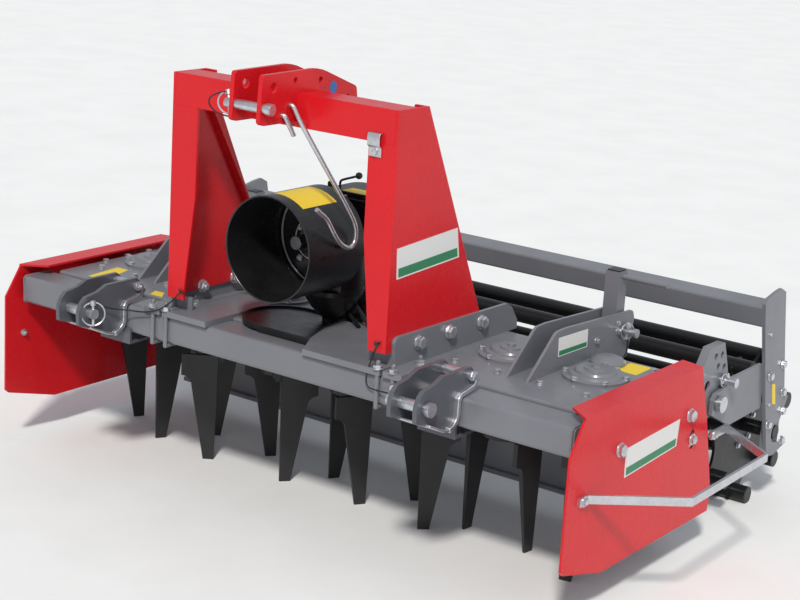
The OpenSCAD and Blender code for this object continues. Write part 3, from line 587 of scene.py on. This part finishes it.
def hitch_details():
    """The lynch pins of the three hitch points, their lanyards, and what holds the ears."""
    for s, side in SIDES:
        lynch_pin(f"hitch_lynch_{side}", at(s * 490, HITCH_PIN_Y, HITCH_PIN_Z),
                  (0.1 * s, 0.06, 1), (-0.6 * s, 0.8, 0), ring=31.0)
    lynch_pin("top_link_lynch", at(-62, -480, 1122), (-0.35, 0.25, 1), (-0.5, -0.8, 0))
    lanyard("lanyard_right", [at(340, -360, 575), at(338, -368, 562), at(331, -373, 533),
                              at(322, -374, 500), at(320, -374, 478), at(328, -374, 464),
                              at(351, -376, 462), at(392, -385, 466), at(440, -410, 475),
                              at(475, -450, 492), at(489, -482, 515), at(493, -497, 527)])
    lanyard("lanyard_left", [at(-312, -360, 574), at(-316, -368, 564), at(-331, -376, 544),
                             at(-362, -380, 520), at(-402, -382, 503), at(-438, -384, 496),
                             at(-468, -392, 495), at(-487, -415, 498), at(-494, -450, 508),
                             at(-494, -480, 521), at(-493, -497, 528)])
    lanyard("lanyard_top", [at(-52.5, -415, 1092), at(-64, -424, 1085), at(-82, -436, 1080),
                            at(-106, -450, 1082), at(-126, -462, 1092), at(-134, -472, 1108),
                            at(-126, -480, 1124), at(-106, -486, 1136), at(-86, -488, 1144),
                            at(-72, -484, 1148)])
    # the knots that tie two of them through the posts' folds
    bm = bmesh.new()
    for x, s in ((340, 1), (-312, -1)):
        knot = curve_points([at(x - 13 * s, -361, 577), at(x - 6 * s, -362, 571),
                             at(x, -364, 575), at(x + 5 * s, -362, 579), at(x, -361, 572),
                             at(x - 4 * s, -363, 576), at(x + 4 * s, -361, 571)], 5)
        add_tube(bm, knot, 0.0021, 8)
    finish_piece(bm, "lanyard_knots", RUBBER, "frame")
    # the strap behind each pair of ears, bent over the beam's front edge
    inner, outer = 493, 603
    bend = (-414, 428)
    bm = bmesh.new()
    for s in (1, -1):
        add_strap(bm, [(-303, 536), (-319, 517), (-348, 510.5), (-371, 507), (-379, 498),
                       (-379.5, 458), (-384, 445), (-398, 432), bend], 13, s * inner, s * outer)
        add_strap(bm, [bend, (-440, 433), (-500, 460)], 6, s * inner, s * outer)
    finish_piece(bm, "hitch_saddles", ZINC, "frame", bevel=0.002)
    bm = bmesh.new()
    for s in (1, -1):
        add_bolt(bm, at(s * 601, -329, 546), (s, 0, 0), 12.0)
        add_bolt(bm, at(s * 495, -329, 546), (-s, 0, 0), 12.0, turn=0.2, nut=True)
    finish_piece(bm, "ear_bolts", ZINC, "frame")
    # the nuts that hold the U-bolts down on their clamp plates
    bm = bmesh.new()
    for s in (1, -1):
        for x in (352, 399):
            for y in (-371, -259):
                add_bolt(bm, at(s * x, y, 515), (0, 0, 1), 12.5, turn=0.1 * x)
    finish_piece(bm, "u_bolt_nuts", ZINC, "frame")


hitch_details()


# ---------- drive ----------

def around_shaft(radius, y, angles):
    """Points on a circle about the drive shaft's axis."""
    return [at(radius * math.cos(a), y, SHAFT_Z + radius * math.sin(a)) for a in angles]


def drive_hook():
    """The bent rod that carries the drive shaft when parked: clipped in the near top link plate,
    down past the guard, and up again in one round bend."""
    clip = [at(59, -375, 1048), at(59, -413, 1100), at(32, -413, 1100), at(32, -384, 1123),
            at(59, -384, 1123), at(80, -370, 1076)]
    arm = curve_points([at(80, -370, 1076), at(99, -338, 1016), at(118, -306, 956),
                        at(136, -273, 896), at(147, -246, 850), at(150.5, -230, 822),
                        at(150.5, -222, 796), at(150.5, -226, 773), at(150.5, -243, 762),
                        at(150.5, -265, 767), at(150.5, -287, 781), at(150.5, -306, 800),
                        at(150.5, -324, 823), at(150.5, -340, 844), at(150.5, -356, 858),
                        at(150.5, -373, 869), at(150.5, -386, 879)], 4)
    bm = bmesh.new()
    add_tube(bm, filleted(clip, 0.007) + arm[1:], 0.006, 20)
    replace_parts(finish_piece(bm, "drive_hook", ZINC, "frame"), "pto_hook")


def guard_sticker():
    """A blank sticker wrapped over the top of the round guard."""
    bm = bmesh.new()
    steps = 12
    angles = [math.radians(55 + 42 * k / steps) for k in range(steps + 1)]
    low, high = [[[bm.verts.new(p) for p in pair]
                  for pair in zip(around_shaft(r, -350, angles), around_shaft(r, -214, angles))]
                 for r in (137.6, 138.1)]
    for k in range(steps):
        bm.faces.new((high[k][0], high[k + 1][0], high[k + 1][1], high[k][1]))
        bm.faces.new((low[k][0], low[k][1], low[k + 1][1], low[k + 1][0]))
        for j in (0, 1):
            bm.faces.new((low[k][j], low[k + 1][j], high[k + 1][j], high[k][j]))
    for row_low, row_high in ((low[0], high[0]), (low[-1], high[-1])):
        bm.faces.new((row_low[0], row_low[1], row_high[1], row_high[0]))
    finish_piece(bm, "guard_label", YELLOW, "frame")


def drive_details():
    """The shaft's splines and seal, and the fittings of the guard."""
    # splines on the shaft's free end
    bm = bmesh.new()
    for a in turns(6):
        place = (Matrix.Translation(at(0, -275, SHAFT_Z)) @ basis((0, 1, 0))
                 @ Matrix.Rotation(a, 4, "Z") @ Matrix.Translation((0.0172, 0, 0)))
        add_prism(bm, [(-0.001, -0.0045), (0.0012, -0.0040), (0.0012, 0.0040), (-0.001, 0.0045)],
                  place, 0.068)
    finish_piece(bm, "shaft_splines", STEEL_WITH_PAINTED_SHADE, "pto_shaft", bevel=0.0004)
    # seal round the shaft, and its flange with screws inside the guard
    bm = bmesh.new()
    place = Matrix.Translation(at(0, -200.2, SHAFT_Z)) @ basis((0, -1, 0))
    add_disc_stack(bm, place, [(0.0262, 0), (0.056, 0), (0.056, 0.006), (0.050, 0.009),
                               (0.040, 0.010), (0.030, 0.004), (0.0262, 0.004)], 40)
    finish_piece(bm, "shaft_seal", BLACK, "frame")
    # a thin bright zinc ring on the seal's rim, a painted highlight of the flange's rim
    bm = bmesh.new()
    add_tube(bm, around_shaft(53, -207.5, turns(60)), 0.0022, 8, closed=True)
    finish_piece(bm, "painted_rim_highlight", ZINC, "frame")
    bolts("seal_screws", around_shaft(46, -209.2, turns(6, 30)), (0, -1, 0), 6.0)
    # rolled lip round the guard's mouth
    bm = bmesh.new()
    add_tube(bm, around_shaft(135.2, -386.5, turns(72)), 0.0022, 10, closed=True)
    finish_piece(bm, "guard_lip", PLASTIC, "frame")
    # clamp ring that holds the guard's rear edge on the gearbox, and the bolts inside it
    bm = bmesh.new()
    add_tube(bm, around_shaft(127, -175, turns(72)), 0.0028, 8, closed=True)
    finish_piece(bm, "guard_clamp", ZINC, "frame")
    bolts("guard_bolts", around_shaft(95, -170.4, turns(4, 45)), (0, -1, 0), 8.0)


def gearbox_details():
    """The gearbox's lid with its bolts, its lever and its breather."""
    bm = bmesh.new()
    for size, corner, z, thick in ((0.172, 0.022, LID_Z - 10, 0.010), (0.140, 0.030, LID_Z, 0.012)):
        add_prism(bm, rounded_rect(size, size, corner), Matrix.Translation(at(0, 0, z)), thick)
    finish_piece(bm, "gearbox_lid", BLACK, "frame", bevel=0.0015)
    row = (-77, 0, 77)
    bolts("lid_bolts", [at(x, y, LID_Z) for x in row for y in row if (x, y) != (0, 0)],
          (0, 0, 1), 7.0, washer=False)
    label("gearbox_label", [at(-20, -66, 857.2), at(60, -66, 857.2), at(60, -20, 857.2),
                            at(-20, -20, 857.2)], YELLOW)
    # the lever that shifts the drive, with its knob, and the breather in the lid's corner
    bm = bmesh.new()
    add_tube(bm, curve_points([at(-62, -20, 856), at(-61, -20, 868), at(-54, -20, 874),
                               at(-30, -21, 883), at(-4, -22, 892)], 5), 0.0032, 12)
    add_disc_stack(bm, Matrix.Translation(at(-7, -22, 891)) @ basis((0.9, 0, 0.35)),
                   [(0, 0), (0.006, 0.001), (0.009, 0.005), (0.0095, 0.010), (0.007, 0.015),
                    (0, 0.016)], 20)
    add_disc_stack(bm, Matrix.Translation(at(-62, -62, LID_Z)),
                   [(0.010, 0), (0.010, 0.014), (0.0075, 0.016), (0.0075, 0.026), (0.006, 0.029),
                    (0, 0.029)], 20)
    finish_piece(bm, "gearbox_lever", BLACK, "frame")


drive_details()
guard_sticker()
drive_hook()
gearbox_details()


# ---------- side plates, brackets and roller frame ----------

def side_details():
    """The side plates' bolts and the feet of the side bars."""
    bm = bmesh.new()
    for x, y, z in both([(SIDE_FACE, -181, 408), (SIDE_FACE, 175, 410)]):
        add_bolt(bm, at(x, y, z), (math.copysign(1, x), 0, 0), 17.0, turn=0.4)
    # the bolt in the slot has a washer a little wider than the slot
    slot_y, slot_z = 199, 340
    for s in (1, -1):
        place = Matrix.Translation(at(s * SIDE_FACE, slot_y, slot_z)) @ basis((s, 0, 0))
        add_disc_stack(bm, place, [(0, 0), (0.0150, 0), (0.0155, 0.001), (0.0150, 0.003),
                                   (0, 0.003)], 28)
        add_bolt(bm, at(s * (SIDE_FACE + 3), slot_y, slot_z), (s, 0, 0), 13.0, False, 0.7)
        for y, turn in zip(SIDE_BAR_ENDS, (0.2, 0.5)):
            add_bolt(bm, at(s * (SIDE_FACE + 8), y, SIDE_BAR_Z), (s, 0, 0), 9.5, turn=turn)
        for y in SIDE_BAR_ENDS:
            add_bolt(bm, at(s * (SIDE_FACE - 6), y, SIDE_BAR_Z), (-s, 0, 0), 9.5, turn=0.4,
                     nut=True)
    finish_piece(bm, "side_plate_bolts", ZINC, "frame")
    # feet of the bars, flattened round the bolts
    bm = bmesh.new()
    for s in (1, -1):
        for y in SIDE_BAR_ENDS:
            place = Matrix.Translation(at(s * 939.4, y, SIDE_BAR_Z)) @ basis((s, 0, 0))
            add_disc_stack(bm, place, [(0, 0), (0.0135, 0), (0.0135, 0.0014), (0, 0.0014)], 24)
    finish_piece(bm, "side_bar_feet", ZINC, "frame")


def around_roller(x, radius, angle):
    """A point on a circle about the roller's axis."""
    return at(x, ROLLER_Y + radius * math.cos(angle), ROLLER_Z + radius * math.sin(angle))


def roller_details():
    """The bolts and label on the roller frame's end plates, and the roller's bolts and caps."""
    large = [(736, 424), (659, 405), (756, 339), (769, 281), (680, 261), (782, 192)]
    small = [(670, 321), (629, 530)]
    spots = both([(ARM_FACE, y, z) for y, z in large + small])
    bm = bmesh.new()
    for i, (x, y, z) in enumerate(spots):
        big = (y, z) in large
        add_bolt(bm, at(x, y, z), (math.copysign(1, x), 0, 0), 12.0 if big else 6.0, big, 0.31 * i)
    finish_piece(bm, "arm_bolts", ZINC, "roller_frame")
    label("arm_label", [at(ARM_FACE, y, z) for y, z in ((695, 317), (716, 312), (700, 374),
                                                        (679, 379))], YELLOW, "roller_frame")
    # bolts of the bearings' hubs on the roller's outer discs
    bm = bmesh.new()
    for s in (1, -1):
        for a in turns(6, 12):
            add_bolt(bm, around_roller(s * 824, 62, a), (s, 0, 0), 9.0, turn=a)
    finish_piece(bm, "roller_bolts", ZINC, "roller")
    # end caps of the roller's tubes
    bm = bmesh.new()
    for s in (1, -1):
        for a in turns(7, -93):
            place = Matrix.Translation(around_roller(s * 868, 200, a)) @ basis((s, 0, 0))
            add_disc_stack(bm, place, [(0, 0), (0.0205, 0), (0.0200, 0.0006), (0, 0.0006)], 24)
    finish_piece(bm, "roller_tube_caps", BLACK, "roller")


def bracket_details():
    """The levelling board brackets' bolts, and the ties of the board's pins."""
    bm = bmesh.new()
    for s in (1, -1):
        for y, z, size in ((158, 547, 9.0), (266, 552, 9.0), (266, 574, 7.0)):
            add_bolt(bm, at(s * BRACKET_FACE, y, z), (s, 0, 0), size, turn=0.01 * y)
    finish_piece(bm, "bracket_bolts", ZINC, "frame")
    # each tie hangs from its pin's ring to the bracket's foot
    for s, side in SIDES:
        lanyard(f"board_tie_{side}", [at(s * 669, 302, 528), at(s * 670, 303, 510),
                                      at(s * 670, 299, 490), at(s * 666, 292, 474),
                                      at(s * 660, 284, 468), at(s * 656.5, 276, 470)])


def pin_details():
    """The lynch pins of the levelling board and of the roller's depth, and the posts' caps."""
    for s, side in SIDES:
        lynch_pin(f"board_lynch_{side}", at(s * 669, BOARD_PIN_Y, BOARD_PIN_Z), (0, 0.1, 1),
                  (0.5 * s, 1, 0), ring=20.0)
        lynch_pin(f"depth_lynch_{side}", at(s * 909, 403, 446), (0, 0.9, 0.4), (0, 0, 1),
                  ring=17.0)
    # caps on the board's posts
    bm = bmesh.new()
    for s in (1, -1):
        place = Matrix.Translation(at(s * 622, BOARD_PIN_Y, 706))
        add_prism(bm, rounded_rect(0.038, 0.038, 0.005), place, 0.003)
    finish_piece(bm, "post_caps", BLACK, "levelling_board", bevel=0.001)


side_details()
roller_details()
bracket_details()
pin_details()


# ---------- blank labels ----------

def striped_label(name, low, high, x, band):
    """A white sticker on a face at X = x with a green band along its foot. low and high are the
    lower and upper edges, each as two (y, z) points from front to back."""
    (a, b), (c, d) = low, high
    label(name, [at(x, *a), at(x, *b), at(x, *d), at(x, *c)], WHITE)

    def point(u, v):
        """A point at shares u and v of the sticker's length and height, just proud of it."""
        lo = Vector(a).lerp(Vector(b), u)
        hi = Vector(c).lerp(Vector(d), u)
        return at(x + 0.5, *lo.lerp(hi, v))

    edge, foot = 0.025, 0.05
    label(name + "_band", [point(edge, foot), point(1 - edge, foot), point(1 - edge, band),
                           point(edge, band)], GREEN, thick=0.0002)


striped_label("post_label", ((-329, 734), (-62, 748)), ((-334, 812), (-77, 827)),
              POST_FACE, 0.34)
striped_label("side_label", ((-147, 328), (114, 343)), ((-151, 402), (121, 413)),
              SIDE_FACE, 0.32)
striped_label("bracket_label", ((-31, 543), (112, 541)), ((-34, 593), (109, 589)),
              BRACKET_FACE, 0.30)
for side, corners in (("right", ((752, 92), (815, 90), (813, 176), (752, 174))),
                      ("left", ((-769, -246), (-706, -243), (-742, -114), (-783, -116))),
                      ("middle", ((-518, -258), (-474, -258), (-500, -220), (-532, -222)))):
    label(f"deck_label_{side}", [at(x, y, DECK_Z) for x, y in corners], YELLOW)


def plate_disc():
    """A bare round sticker on the near top link plate."""
    bm = bmesh.new()
    place = Matrix.Translation(at(50, -215, 1152)) @ basis((1, 0, 0))
    radius = 0.0135
    ring = [(radius * math.cos(a), radius * math.sin(a)) for a in turns(40)]
    add_prism(bm, ring, place @ Matrix.Scale(1.25, 4, (0, 1, 0)), 0.0005)
    finish_piece(bm, "plate_disc", BLUE, "frame")


plate_disc()


# ---------- edges ----------

def soften(names, width):
    """Rounds the sheared edges of CAD parts a little, so that they catch the light."""
    for name in names:
        obj = nodes[name]
        weld = obj.modifiers.new("weld", "WELD")
        weld.merge_threshold = 0.00002
        bevel = obj.modifiers.new("bevel", "BEVEL")
        bevel.width = width
        bevel.segments = 2
        bevel.limit_method = "ANGLE"
        bevel.angle_limit = SHARP
        bevel.use_clamp_overlap = True
        bevel.harden_normals = True


soften(["hitch_ears_right", "hitch_ears_left", "foot_right", "foot_left", "board_brackets",
        "sector_plates"], 0.0016)
soften(["post_right", "post_left", "top_link_plates", "cross_tube"], 0.0014)


# ---------- floor and light ----------

def stage():
    """A pale floor, an even sky, a sun and a weak fill from the other side."""
    floor = bpy.data.meshes.new("floor")
    half = 60.0
    floor.from_pydata([(-half, -half, 0), (half, -half, 0), (half, half, 0), (-half, half, 0)],
                      [], [(0, 1, 2, 3)])
    obj = bpy.data.objects.new("floor", floor)
    bpy.context.scene.collection.objects.link(obj)
    mat, tree, bsdf = new_material("pale_floor")
    coords = tree.nodes.new("ShaderNodeTexCoord").outputs["Object"]
    n = noise(tree, coords, 3.0, 6.0, 0.6)
    tree.links.new(ramp(tree, n, [(0.3, (0.80, 0.80, 0.79)), (0.7, (0.85, 0.85, 0.84))]),
                   bsdf.inputs["Base Color"])
    bsdf.inputs["Roughness"].default_value = 0.9
    floor.materials.append(mat)

    world = bpy.data.worlds.new("world")
    bpy.context.scene.world = world
    world.use_nodes = True
    background = world.node_tree.nodes["Background"]
    background.inputs["Color"].default_value = (0.80, 0.85, 0.93, 1.0)
    background.inputs["Strength"].default_value = 0.55

    def lamp(name, direction, strength, angle, colour):
        """A sun of an angle in degrees. direction points towards it."""
        data = bpy.data.lights.new(name, "SUN")
        data.energy = strength
        data.angle = math.radians(angle)
        data.color = colour
        o = bpy.data.objects.new(name, data)
        bpy.context.scene.collection.objects.link(o)
        o.matrix_world = basis(direction)

    lamp("key", (0.333, -0.61, 0.715), 2.6, 6.0, (1.0, 0.97, 0.92))
    lamp("fill", (0.9, 0.2, 0.5), 0.35, 60.0, (0.9, 0.95, 1.0))


stage()
bpy.context.scene.view_settings.view_transform = "Standard"
